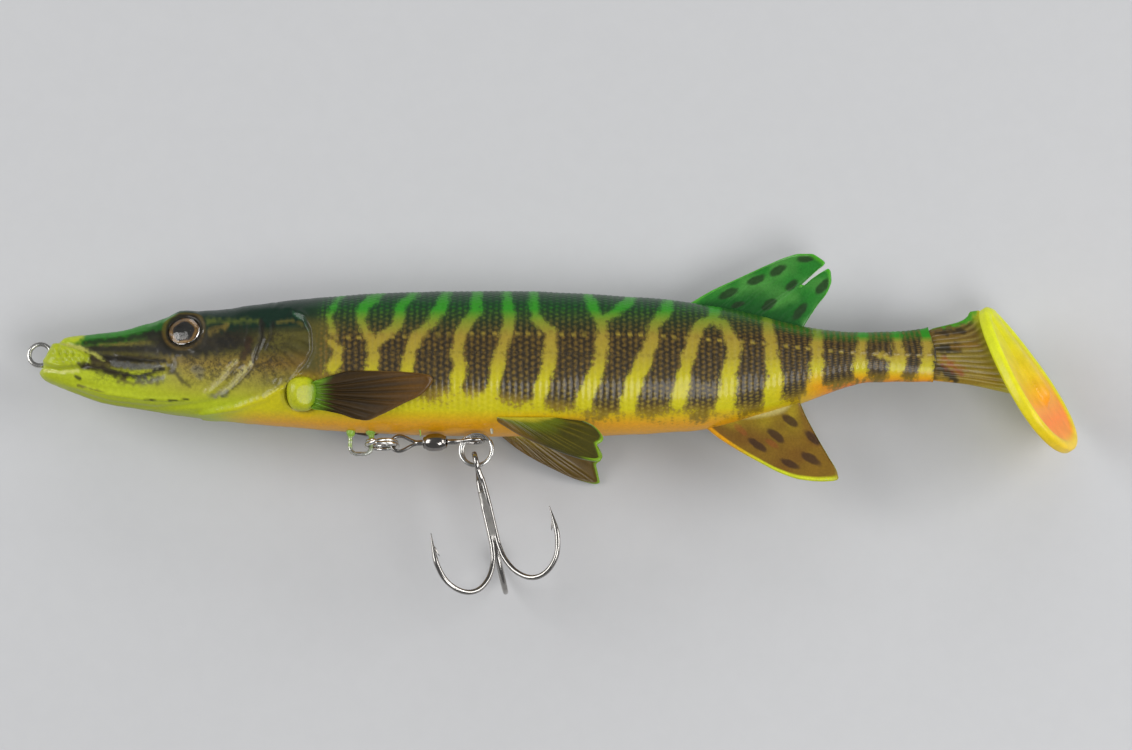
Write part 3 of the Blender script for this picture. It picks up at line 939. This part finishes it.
def anal():
    """The anal fin, spotted."""
    def paint(x, y, s, t, rim, rib):
        c = tint(srgb(156, 138, 20), srgb(116, 86, 14), smooth(0.05, 0.5, s))
        c = tint(c, srgb(98, 60, 12), 0.5 * smooth(0.35, 0.8, noise(x * 0.3, y * 0.3, 6)))
        c = spots(x, y, c, [(135.4, -14.9, 1.7, 0.6, -42), (141.4, -17.6, 1.4, 0.6, -35)], srgb(140, 60, 30), 0.35)
        c = spots(x, y, c, [(144.9, -13.1, 1.9, 0.8, -35), (142.2, -16.1, 1.9, 0.8, -38),
                            (149.2, -16.5, 2.0, 0.75, -42), (138.6, -17.9, 2.1, 0.7, -35),
                            (148.8, -20.6, 2.1, 0.85, -32), (144.9, -21.6, 1.9, 0.7, -25)],
                  srgb(52, 30, 16), 0.85)
        edge = tint(AMBER, srgb(196, 204, 34), smooth(132, 141, x))
        c = tint(c, edge, 0.95 * smooth(1.25, 0.6, rim) * smooth(0.8, 0.72, t))
        c = tint(c, srgb(150, 190, 40), 0.9 * smooth(0.75, 0.3, rim) * smooth(0.78, 0.84, t))
        return tint(c, srgb(206, 196, 130), 0.7 * smooth(0.16, 0.09, s) * smooth(0.04, 0.08, s))
    root = [(0, 129.3, -13.0), (0.45, 136.2, -11.2), (0.8, 142.5, -9.4), (1, 146.2, -8.2)]
    margin = [(0, 128.7, -14.4), (0.08, 130.6, -16.0), (0.2, 134.3, -18.5), (0.34, 139.3, -21.4),
              (0.46, 143.2, -23.4), (0.56, 147, -24.6), (0.66, 150.8, -24.95), (0.74, 153.3, -24.8),
              (0.775, 154.1, -24.3), (0.8, 153.9, -23.2), (0.86, 152.4, -20.4), (0.92, 150.4, -16.8),
              (0.97, 148.3, -12.7), (1, 146.9, -9.3)]
    obj = leaf("anal_fin_leaf", root, margin, (1.5, 0.6), 15, 0.018, paint, cols=220, rows=60)
    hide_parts("anal_fin")
    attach(obj, "anal_fin")


PELVIC_AT = move((88, -13.8, 5.9)) @ spin(-30, "X") @ Matrix.Diagonal((1, -1, 1, 1))
PELVIC_TONES = {"left": (srgb(88, 98, 14), srgb(60, 56, 8)), "right": (srgb(120, 100, 16), srgb(84, 64, 10))}


def pelvic(side):
    """A notched pelvic fin, greener on the side that faces up."""
    def paint(x, y, s, t, rim, rib):
        near, deep = PELVIC_TONES[side]
        c = tint(near, deep, smooth(0.15, 0.5, s))
        c = tint(c, srgb(104, 78, 12), smooth(0.42, 0.1, t) * smooth(0.1, 0.4, s) * 0.9)
        c = tint(c, srgb(150, 132, 34), 0.2 * smooth(0.2, 0.9, rib) * smooth(0.2, 0.6, s))
        c = tint(c, srgb(176, 164, 40), smooth(0.18, 0.02, s))
        return tint(c, srgb(120, 160, 26), 0.85 * smooth(0.8, 0.35, rim) * smooth(0.55, 0.68, t))
    root = [(0, 0.6, 0.1), (0.5, 3.4, 0.1), (1, 11, 0.2)]
    margin = [(0, 1.2, 1.0), (0.14, 5, 4.1), (0.38, 11, 7.6), (0.6, 17.3, 10.4), (0.68, 19.6, 10.9),
              (0.735, 20.4, 10.5), (0.79, 20.0, 8.4), (0.825, 19.7, 6.9), (0.855, 20.6, 6.0), (0.895, 20.9, 5.1),
              (0.95, 19.5, 2.5), (1, 17.4, 1.0)]
    obj = leaf("pelvic_fin_leaf_" + side, root, margin, (1.0, 0.42), 15, 0.04, paint, MIRROR[side] @ PELVIC_AT)
    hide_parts("pelvic_fin_" + side)
    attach(obj, "pelvic_fin_" + side)


PECTORAL_AT = move((51.6, -9.2, 6.2)) @ spin(18.3, "X") @ spin(-2, "Y") @ move((0, 0, 2.2))


def pectoral(side):
    """The fin's leaf, and the egg-shaped knob in the flank that it grows from."""
    def paint(x, y, s, t, rim, rib):
        c = tint(srgb(50, 34, 4), srgb(88, 58, 8), smooth(10, 24, x))
        c = tint(c, srgb(36, 26, 10), 0.6 * smooth(0.1, -0.9, rib))
        c = tint(c, srgb(98, 140, 24), smooth(6.2, 1.8, x + 0.7 * rib))
        return tint(c, srgb(112, 84, 34), 0.6 * smooth(0.5, 0.15, rim) * smooth(9, 14, x))
    root = [(0, 1.7, -2.2), (0.5, 1.9, 0), (1, 1.7, 2.3)]
    margin = [(0, 2.4, -2.7), (0.07, 4.2, -2.9), (0.14, 7.6, -3.6), (0.21, 10.4, -4.5), (0.27, 12.2, -4.75),
              (0.36, 15.0, -3.7), (0.5, 19.2, -1.6), (0.62, 22.6, 0.1), (0.7, 24.3, 1.7), (0.77, 25.0, 3.0),
              (0.83, 24.4, 3.95), (0.9, 17, 4.7), (0.95, 10, 4.8), (1, 2.6, 2.9)]
    fin = leaf("pectoral_fin_leaf_" + side, root, margin, (1.3, 0.4), 10, 0.15, paint, MIRROR[side] @ PECTORAL_AT,
               bow=-0.15, sink=0.9)
    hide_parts("pectoral_fin_" + side)
    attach(fin, "pectoral_fin_" + side)
    rows, around = 40, 72
    b = np.linspace(-math.pi / 2, math.pi / 2, rows)[:, None]
    a = angles(around)[None, :]
    cb, sb, n = np.cos(b), np.sin(b), 2.5
    r = (np.abs(cb * np.cos(a)) ** n + np.abs(cb * np.sin(a)) ** n + np.abs(sb + 0 * a) ** n) ** (-1 / n)
    x = 3.0 * r * cb * np.cos(a) * (1 + 0.07 * np.sin(a) * cb)
    y, z = 3.4 * r * cb * np.sin(a), 2.95 * r * sb + 0 * a
    z = np.minimum(z, 2.9 - 0.16 * np.abs(x + 1.2) - 0.05 * y)
    tone = tint(srgb(172, 176, 24), srgb(104, 146, 24), smooth(0.6, 3.0, x))
    knob = make("pectoral_knob_" + side, np.stack([x, y, z], -1).reshape(-1, 3), grid_faces(rows, around, True),
                MAT_FIN, colours={"paint": tone.reshape(-1, 3)})
    edit(knob, lambda bm: bmesh.ops.remove_doubles(bm, verts=bm.verts, dist=0.004 * MM))
    place(knob, MIRROR[side] @ KNOB_AT @ spin(22, "X"))
    outward(knob)
    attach(knob, "pectoral_fin_" + side)


caudal()
paddle()
dorsal()
anal()
for side in MIRROR:
    pelvic(side)
    pectoral(side)


# ---------- eyes ----------

def clear_material():
    """Clear cast resin."""
    n = Nodes("clear_dome")
    speck = n.noise(2500, 2)
    n.bump(speck, 0.000004, 0.3)
    return n.set(Base_Color=(1, 0.99, 0.96), Roughness=n.rough(speck, 0.01, 0.03),
                 Transmission_Weight=1.0, IOR=1.42)


def iris_material():
    """Printed foil with fine rays."""
    n = Nodes("iris_foil")
    ray = n.noise(2600, 4, 0.7)
    base = n.grain(n.attribute("paint", "Color"), ray, (0.62, 0.6, 0.55), (1.25, 1.2, 1.1))
    n.bump(ray, 0.00003, 0.6)
    return n.set(Base_Color=base, Metallic=0.35, Roughness=n.rough(ray, 0.25, 0.45))


MAT_CLEAR, MAT_IRIS = clear_material(), iris_material()


def eye(side):
    """The iris disc, domed a little, with a ragged pupil and a ring."""
    rows, around = 44, 96
    r = np.linspace(0.02, 2.96, rows)[:, None]
    a = angles(around)[None, :]
    x, y = r * np.cos(a), r * np.sin(a)
    z = 0.6 - 0.1 * smooth(1.5, 2.4, r) + 0.08 * smooth(2.5, 2.9, r)
    z = z + 0.012 * np.sin(a * 31) * smooth(1.5, 1.9, r) + 0 * a
    pupil = r / (1.8 + 0.1 * np.cos(5 * (a - 1.57)) + 0.12 * np.cos(a - 2.6))
    tone = blend_colours([(0, srgb(12, 10, 8)), (0.97, srgb(16, 12, 9)), (1.03, srgb(80, 50, 20)),
                          (1.12, srgb(146, 112, 44)), (1.38, srgb(136, 100, 40)), (1.5, srgb(90, 56, 22)),
                          (1.58, srgb(20, 16, 10))], pupil)
    back = 0.06
    verts = np.vstack([np.stack([x, y, z], -1).reshape(-1, 3), np.stack([x[-1], y[-1], 0 * x[-1] + back], -1),
                       [[0, 0, 0.6]], [[0, 0, back]]])
    flat = tone.reshape(-1, 3)
    colours = np.vstack([flat, flat[-around:], flat[:1], flat[-1:]])
    iris = make("eye_foil_" + side, verts, sleeve_faces(rows + 1, around), MAT_IRIS, colours={"paint": colours})
    place(iris, MIRROR[side] @ EYE_AT)
    outward(iris)
    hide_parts("eye_iris_" + side)
    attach(iris, "root")


for side in MIRROR:
    eye(side)
    dress("eye_lens_" + side, MAT_CLEAR)


# ---------- wire, rings, swivel and treble ----------

YAW = math.radians(9)
LEG_X, CHAIN_Y = 64.3, -17.7
CHAIN_AT = move((LEG_X, CHAIN_Y, 0)) @ Matrix.Rotation(-YAW, 4, "Y")


def wire_material():
    """Steel wire with lime and green paint flooded over it where it leaves the belly."""
    n = Nodes("harness_steel")
    split = n.add("ShaderNodeSeparateXYZ")
    n.put(split.inputs[0], n.where())
    fine, patch = n.noise(9000, 4, 0.6), n.noise(1400, 3, 0.6)
    height = n.sum(split.outputs[1], n.centred(patch, 0.004))
    belly = n.mul(n.ramp(split.outputs[0], 0.055, 0.058), n.ramp(height, -0.0192, -0.0176, 0.3, 0.9))
    smear = n.mul(belly, n.ramp(patch, 0.36, 0.52))
    steel = n.mix(n.ramp(patch, 0.3, 0.75), (0.5, 0.49, 0.46), (0.66, 0.65, 0.61))
    lime = n.mix(n.ramp(height, -0.0192, -0.0172), srgb(110, 126, 96), srgb(142, 168, 84))
    n.bump(n.sum(fine, patch), 0.00003, 0.5)
    return n.set(Base_Color=n.mix(smear, steel, lime), Metallic=n.math("SUBTRACT", 1.0, smear),
                 Roughness=n.rough(fine, 0.16, 0.34))


dress("harness_wire", wire_material())
dress("keel_weight", MAT_BALLAST)


def collar(x):
    """Paint and flash that crept down the wire at the belly."""
    t = np.linspace(0, 1, 26)
    y = lerp(-14.2, -16.9 if x < 63 else -17.0, t)
    path = np.stack([x + 0.06 * np.sin(t * 9 + x), y, 0.05 * np.cos(t * 7 + x)], -1)
    r = 0.44 + 0.55 * bell(t, 0.42, 0.2) + 0.1 * np.sin(t * 17 + x) + 0.18 * (1 - t)
    r[-4:] = np.linspace(r[-4], 0.44, 4)
    obj = tube("paint_collar_%d" % x, path, r, MAT_FLASH, 22, flat=0.85)
    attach(obj, "root")


collar(60.3)
collar(64.3)


def tick(name, at, tip, r0, r1, mat):
    """A small moulding mark that stands out of the belly."""
    t = np.linspace(0, 1, 9)[:, None]
    path = lerp(np.array(at, float), np.array(tip, float), t) + np.array([0.1, 0, 0.05]) * np.sin(t * 3)
    obj = tube(name, path, lerp(r0, r1, t[:, 0]), mat, 12)
    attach(obj, "root")


tick("belly_nib", (87.3, -14.6, 3.0), (87.6, -16.2, 3.2), 0.34, 0.24, MAT_NIB)
tick("flash_tick", (73.6, -14.8, 2.2), (73.9, -16.7, 2.6), 0.2, 0.08, MAT_FLASH)


RING_R = 3.0


def split_ring(name, centre, upright, body, open_at, gap):
    """Two turns of wire side by side, with an offset where one turn steps over to the other."""
    t = np.linspace(0, 1, 190)
    a = open_at + t * 4 * math.pi * 0.985
    to_end = np.abs(t - 0.5) * 2
    off = lerp(-1, 1, smooth(0.44, 0.56, t)) * (0.33 + gap * to_end ** 6)
    r = RING_R + lerp(-0.14, 0.12, smooth(0.42, 0.58, t)) + 0.05 * gap * to_end ** 4
    path = np.stack([r * np.cos(a), r * np.sin(a), off], -1)
    obj = tube(name, path, 0.37, MAT_STEEL, 18)
    m = move((centre[0] - LEG_X, centre[1] - CHAIN_Y, 0))
    if upright:
        m = m @ spin(90, "X")
    place(obj, CHAIN_AT @ m)
    outward(obj)
    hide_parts(body)
    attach(obj, body)


REAR_RING = (84.95, -19.45)
split_ring("front_ring_coil", (66.4, CHAIN_Y), True, "front_split_ring", 1.9, 0.03)
split_ring("rear_ring_coil", REAR_RING, False, "rear_split_ring", 0.75, 0.16)


def swivel_eye(name, start, neck, stem, upright, body, half_w=1.5):
    """A pear-shaped loop of wire that closes on a short stem into the barrel."""
    sign = 1 if neck > start else -1
    turn = np.linspace(math.pi, math.pi * 2, 40)
    loop = [(start - sign * half_w * abs(math.sin(q)), half_w * math.cos(q)) for q in turn]
    t = np.linspace(0, 1, 26)[1:]
    length = abs(neck - start) + 0.8
    down = [(start + sign * length * q, lerp(half_w, 0.2, e)) for q, e in zip(t, smooth(0, 1, t))]
    points = [(x, -y) for x, y in down[::-1]] + loop + down
    wire = tube(name, [(x, y, 0.0) for x, y in points], 0.35, MAT_NICKEL, 18)
    rod = tube(name + "_stem", [(neck + sign * 0.2, 0, 0), (neck + sign * 0.9, 0, 0), (stem, 0, 0)],
               [0.42, 0.54, 0.54], MAT_NICKEL, 18)
    obj = join(name, [wire, rod])
    m = move((-LEG_X, 0, 0))
    if upright:
        m = spin(90, "X") @ m
    place(obj, CHAIN_AT @ m)
    outward(obj)
    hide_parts(body)
    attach(obj, body)


swivel_eye("swivel_eye_front", 69.8, 72.6, 75.6, False, "swivel_front_eye")
swivel_eye("swivel_eye_rear", 84.7, 81.6, 78.1, True, "swivel_rear_eye")


def barrel():
    """Rounded barrel with a rolled lip at each end."""
    half = [(0.5, 1.74), (1.1, 1.65), (1.6, 1.45), (1.92, 1.2), (2.0, 1.16), (2.1, 1.18), (2.2, 1.12), (2.25, 1.0),
            (2.25, 0.66)]
    rows = [(-x, r) for x, r in half[::-1]] + [(0, 1.76)] + half + [(1.2, 0.64), (-1.2, 0.64)]
    around = 72
    verts = np.array([[x, r * math.cos(q), r * math.sin(q)] for x, r in rows for q in angles(around)])
    faces = grid_faces(len(rows), around, True)
    last = (len(rows) - 1) * around
    faces += [[last + j, last + (j + 1) % around, (j + 1) % around, j] for j in range(around)]
    obj = make("swivel_body", verts, faces, MAT_BARREL)
    rounding = obj.modifiers.new("round", "SUBSURF")
    rounding.levels = rounding.render_levels = 1
    place(obj, CHAIN_AT @ move((76.85 - LEG_X, 0, 0)))
    outward(obj)
    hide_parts("swivel_barrel")
    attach(obj, "swivel_barrel")


barrel()

REACH = REAR_RING[0] - LEG_X
FOOT = (LEG_X + REACH * math.cos(YAW), REAR_RING[1] - RING_R + 0.4, REACH * math.sin(YAW))
TREBLE_AT = move(FOOT) @ spin(13.2, "Z") @ spin(1.8, "X")
HOOK = [(0.67, -5.2), (0.67, -14.2), (0.8, -16.8), (1.35, -19.3), (2.9, -22.0), (5.3, -23.9), (7.9, -24.35),
        (10.4, -23.4), (12.4, -21.3), (13.35, -18.5), (13.5, -16.0), (13.2, -12.2)]
HOOK_STEPS = 14
HOOK_WIRE = 0.5


def catmull(points, per):
    """A smooth curve through points, with a number of steps to each span."""
    p = np.array([points[0]] + list(points) + [points[-1]], float)
    out = []
    for i in range(1, len(p) - 2):
        t = np.linspace(0, 1, per, endpoint=False)[:, None]
        out.append(0.5 * (2 * p[i] + (p[i + 1] - p[i - 1]) * t
                          + (2 * p[i - 1] - 5 * p[i] + 4 * p[i + 1] - p[i + 2]) * t ** 2
                          + (3 * p[i] - p[i - 1] - 3 * p[i + 1] + p[i + 2]) * t ** 3))
    return np.vstack(out + [p[-1:]])


def turned(flat, azimuth):
    """Points of a flat curve, turned about the shank."""
    flat = np.asarray(flat, float)
    return np.stack([flat[:, 0] * math.cos(azimuth), flat[:, 1], flat[:, 0] * math.sin(azimuth)], -1)


def hook_radius(n):
    """Full wire, then a long taper to the point over the last stretch."""
    from_tip = np.arange(n)[::-1] / HOOK_STEPS
    return np.where(from_tip < 1.55, lerp(0.035, HOOK_WIRE, smooth(-0.35, 1.6, from_tip)), HOOK_WIRE)


def barb(azimuth):
    """A cut barb on the inner side, lying down the point."""
    path = turned([(13.3, -14.6), (13.05, -15.3), (12.75, -16.1), (12.45, -16.75)], azimuth)
    return tube("barb", path, [0.16, 0.22, 0.15, 0.03], MAT_NICKEL, 10)


def treble():
    """One wire makes two hooks and the eye, a second the third hook, and braze fills between the shanks."""
    left, right, down = math.radians(150), math.radians(30), math.radians(-90)
    lp, rp, sp = (turned(catmull(HOOK, HOOK_STEPS), azimuth) for azimuth in (left, right, down))
    a = np.radians(np.linspace(-55, 235, 48))
    loop = np.stack([0 * a, 1.85 * np.sin(a), 1.85 * np.cos(a)], -1)
    joined = 6  # the point of a shank where the eye's wire takes over

    def link(shank, end, inner):
        return catmull([shank[joined], lerp(shank[0], end, 0.3), lerp(shank[0], end, 0.72), inner], 10)[1:-1]
    path = np.vstack([rp[joined:][::-1], link(rp, loop[0], loop[2]), loop[2:-2], link(lp, loop[-1], loop[-3])[::-1],
                      lp[joined:]])
    taper = hook_radius(len(rp))
    radii = np.full(len(path), HOOK_WIRE)
    radii[:len(taper) - joined], radii[joined - len(taper):] = taper[joined:][::-1], taper[joined:]
    wire = tube("double", path, radii, MAT_NICKEL, 18)
    double = join("treble_double", [wire, barb(left), barb(right)])
    shank = np.vstack([[(sp[0][0], -4.4, sp[0][2])], sp])
    single = tube("single", shank, np.concatenate([[0.42], taper]), MAT_NICKEL, 18)
    single = join("treble_single", [single, barb(down)])
    rows, around = 24, 60
    t = np.linspace(0, 1, rows)[:, None]
    q = angles(around)[None, :]
    lobes = 0.97 + 0.12 * np.cos(3 * (q - math.pi / 6))
    r = lobes * np.sqrt(np.clip(smooth(0, 0.1, t) * smooth(1, 0.86, t), 0.02, 1))
    verts = np.stack([r * np.cos(q), lerp(-4.9, -15.8, t) + 0 * q, r * np.sin(q)], -1).reshape(-1, 3)
    verts = np.vstack([verts, [[0, -4.85, 0], [0, -15.85, 0]]])
    braze = make("treble_braze", verts, sleeve_faces(rows, around), MAT_BRAZE)
    for obj, node in ((double, "treble_double_hook"), (single, "treble_single_hook"), (braze, "treble_solder")):
        place(obj, TREBLE_AT)
        outward(obj)
        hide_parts(node)
        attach(obj, "treble")


treble()


# ---------- floor, light and camera ----------

def studio():
    """A wide pale floor, a dim sky and four soft lamps."""
    n = Nodes("pale_floor")
    grain = n.noise(300, 3)
    base = n.mix(n.ramp(grain, 0.3, 0.7), (0.505, 0.508, 0.516), (0.512, 0.515, 0.523))
    mat = n.set(Base_Color=base, Roughness=0.32)
    size, z = 3000.0, -11.85
    corners = [(-size, -size, z), (size, -size, z), (size, size, z), (-size, size, z)]
    floor = make("floor", corners, [(0, 1, 2, 3)], mat, smooth_shade=False)
    world = bpy.data.worlds.new("studio")
    world.use_nodes = True
    sky = world.node_tree.nodes["Background"].inputs
    sky[0].default_value, sky[1].default_value = (0.95, 0.97, 1.0, 1.0), 0.2
    bpy.context.scene.world = world
    rows = [("left", (-0.62, 0.1, 0.5), (0.6, 0.5), 4.6), ("right", (0.85, 0.05, 0.5), (0.6, 0.5), 4.6),
            ("back", (0.1, 0.85, 0.3), (1.0, 0.4), 3.2), ("window", (0.31, -0.36, 0.6), (0.34, 0.34), 2.2)]
    for name, at, size, power in rows:
        light = bpy.data.lights.new(name, "AREA")
        light.shape = "RECTANGLE"
        light.size, light.size_y = size
        light.energy = power
        obj = bpy.data.objects.new(name, light)
        obj.location = at
        obj.rotation_euler = (Vector((0.12, -0.01, 0)) - Vector(at)).to_track_quat("-Z", "Y").to_euler()
        obj.visible_glossy = name != "back"
        bpy.context.scene.collection.objects.link(obj)


def camera():
    """Looks down on the lure from its belly side."""
    data = bpy.data.cameras.new("camera")
    data.lens, data.sensor_width = 100, 36
    cam = bpy.data.objects.new("camera", data)
    bpy.context.scene.collection.objects.link(cam)
    target, up = Vector((0.1018, -0.00397, 0)), math.radians(77)  # 13 degrees off straight down
    back = Vector((0, -math.cos(up), math.sin(up)))
    cam.location = target + back * 0.608
    cam.rotation_euler = (-back).to_track_quat("-Z", "Y").to_euler()
    data.clip_start, data.clip_end = 0.01, 20
    bpy.context.scene.camera = cam


studio()
camera()
bpy.context.scene.view_settings.view_transform = "Standard"
